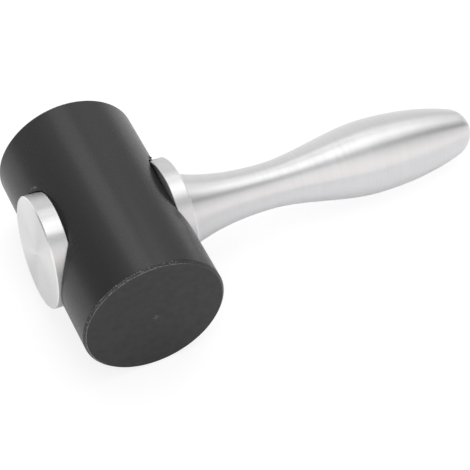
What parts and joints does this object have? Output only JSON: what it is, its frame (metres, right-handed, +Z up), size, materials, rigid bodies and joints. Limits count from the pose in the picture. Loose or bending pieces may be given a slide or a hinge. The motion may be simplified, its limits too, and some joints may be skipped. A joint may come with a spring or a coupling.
{
  "type": "nylon mallet",
  "caption": "Hand mallet: a plain nylon cylinder clamped between aluminium discs on a turned aluminium handle, for striking punches, stamps and soft work without marking them.",
  "frame": {"origin": "bottom centre of the box around the tool, which lies on its side on a bench", "axes": "+X along the handle towards its butt (the handle dips 6.2 degrees from X, down to the bench), Y along the head's axis between its two striking faces, +Z up"},
  "size_m": [0.1668, 0.08, 0.05],
  "materials": {
    "black_nylon": "turned black nylon, dull with a soft sheen at grazing angles",
    "disc_aluminium": "bare aluminium, faced and turned, with a fine bevel at the edges",
    "handle_aluminium": "bare aluminium, turned and satin polished, with fine lines round it",
    "stud_steel": "plain steel stud, hidden inside"
  },
  "bodies": {
    "root": {"nylon_head": "black_nylon", "front_cap": "disc_aluminium", "rear_collar": "disc_aluminium", "handle": "handle_aluminium", "tie_stud": "stud_steel"}
  },
  "joints": []
}
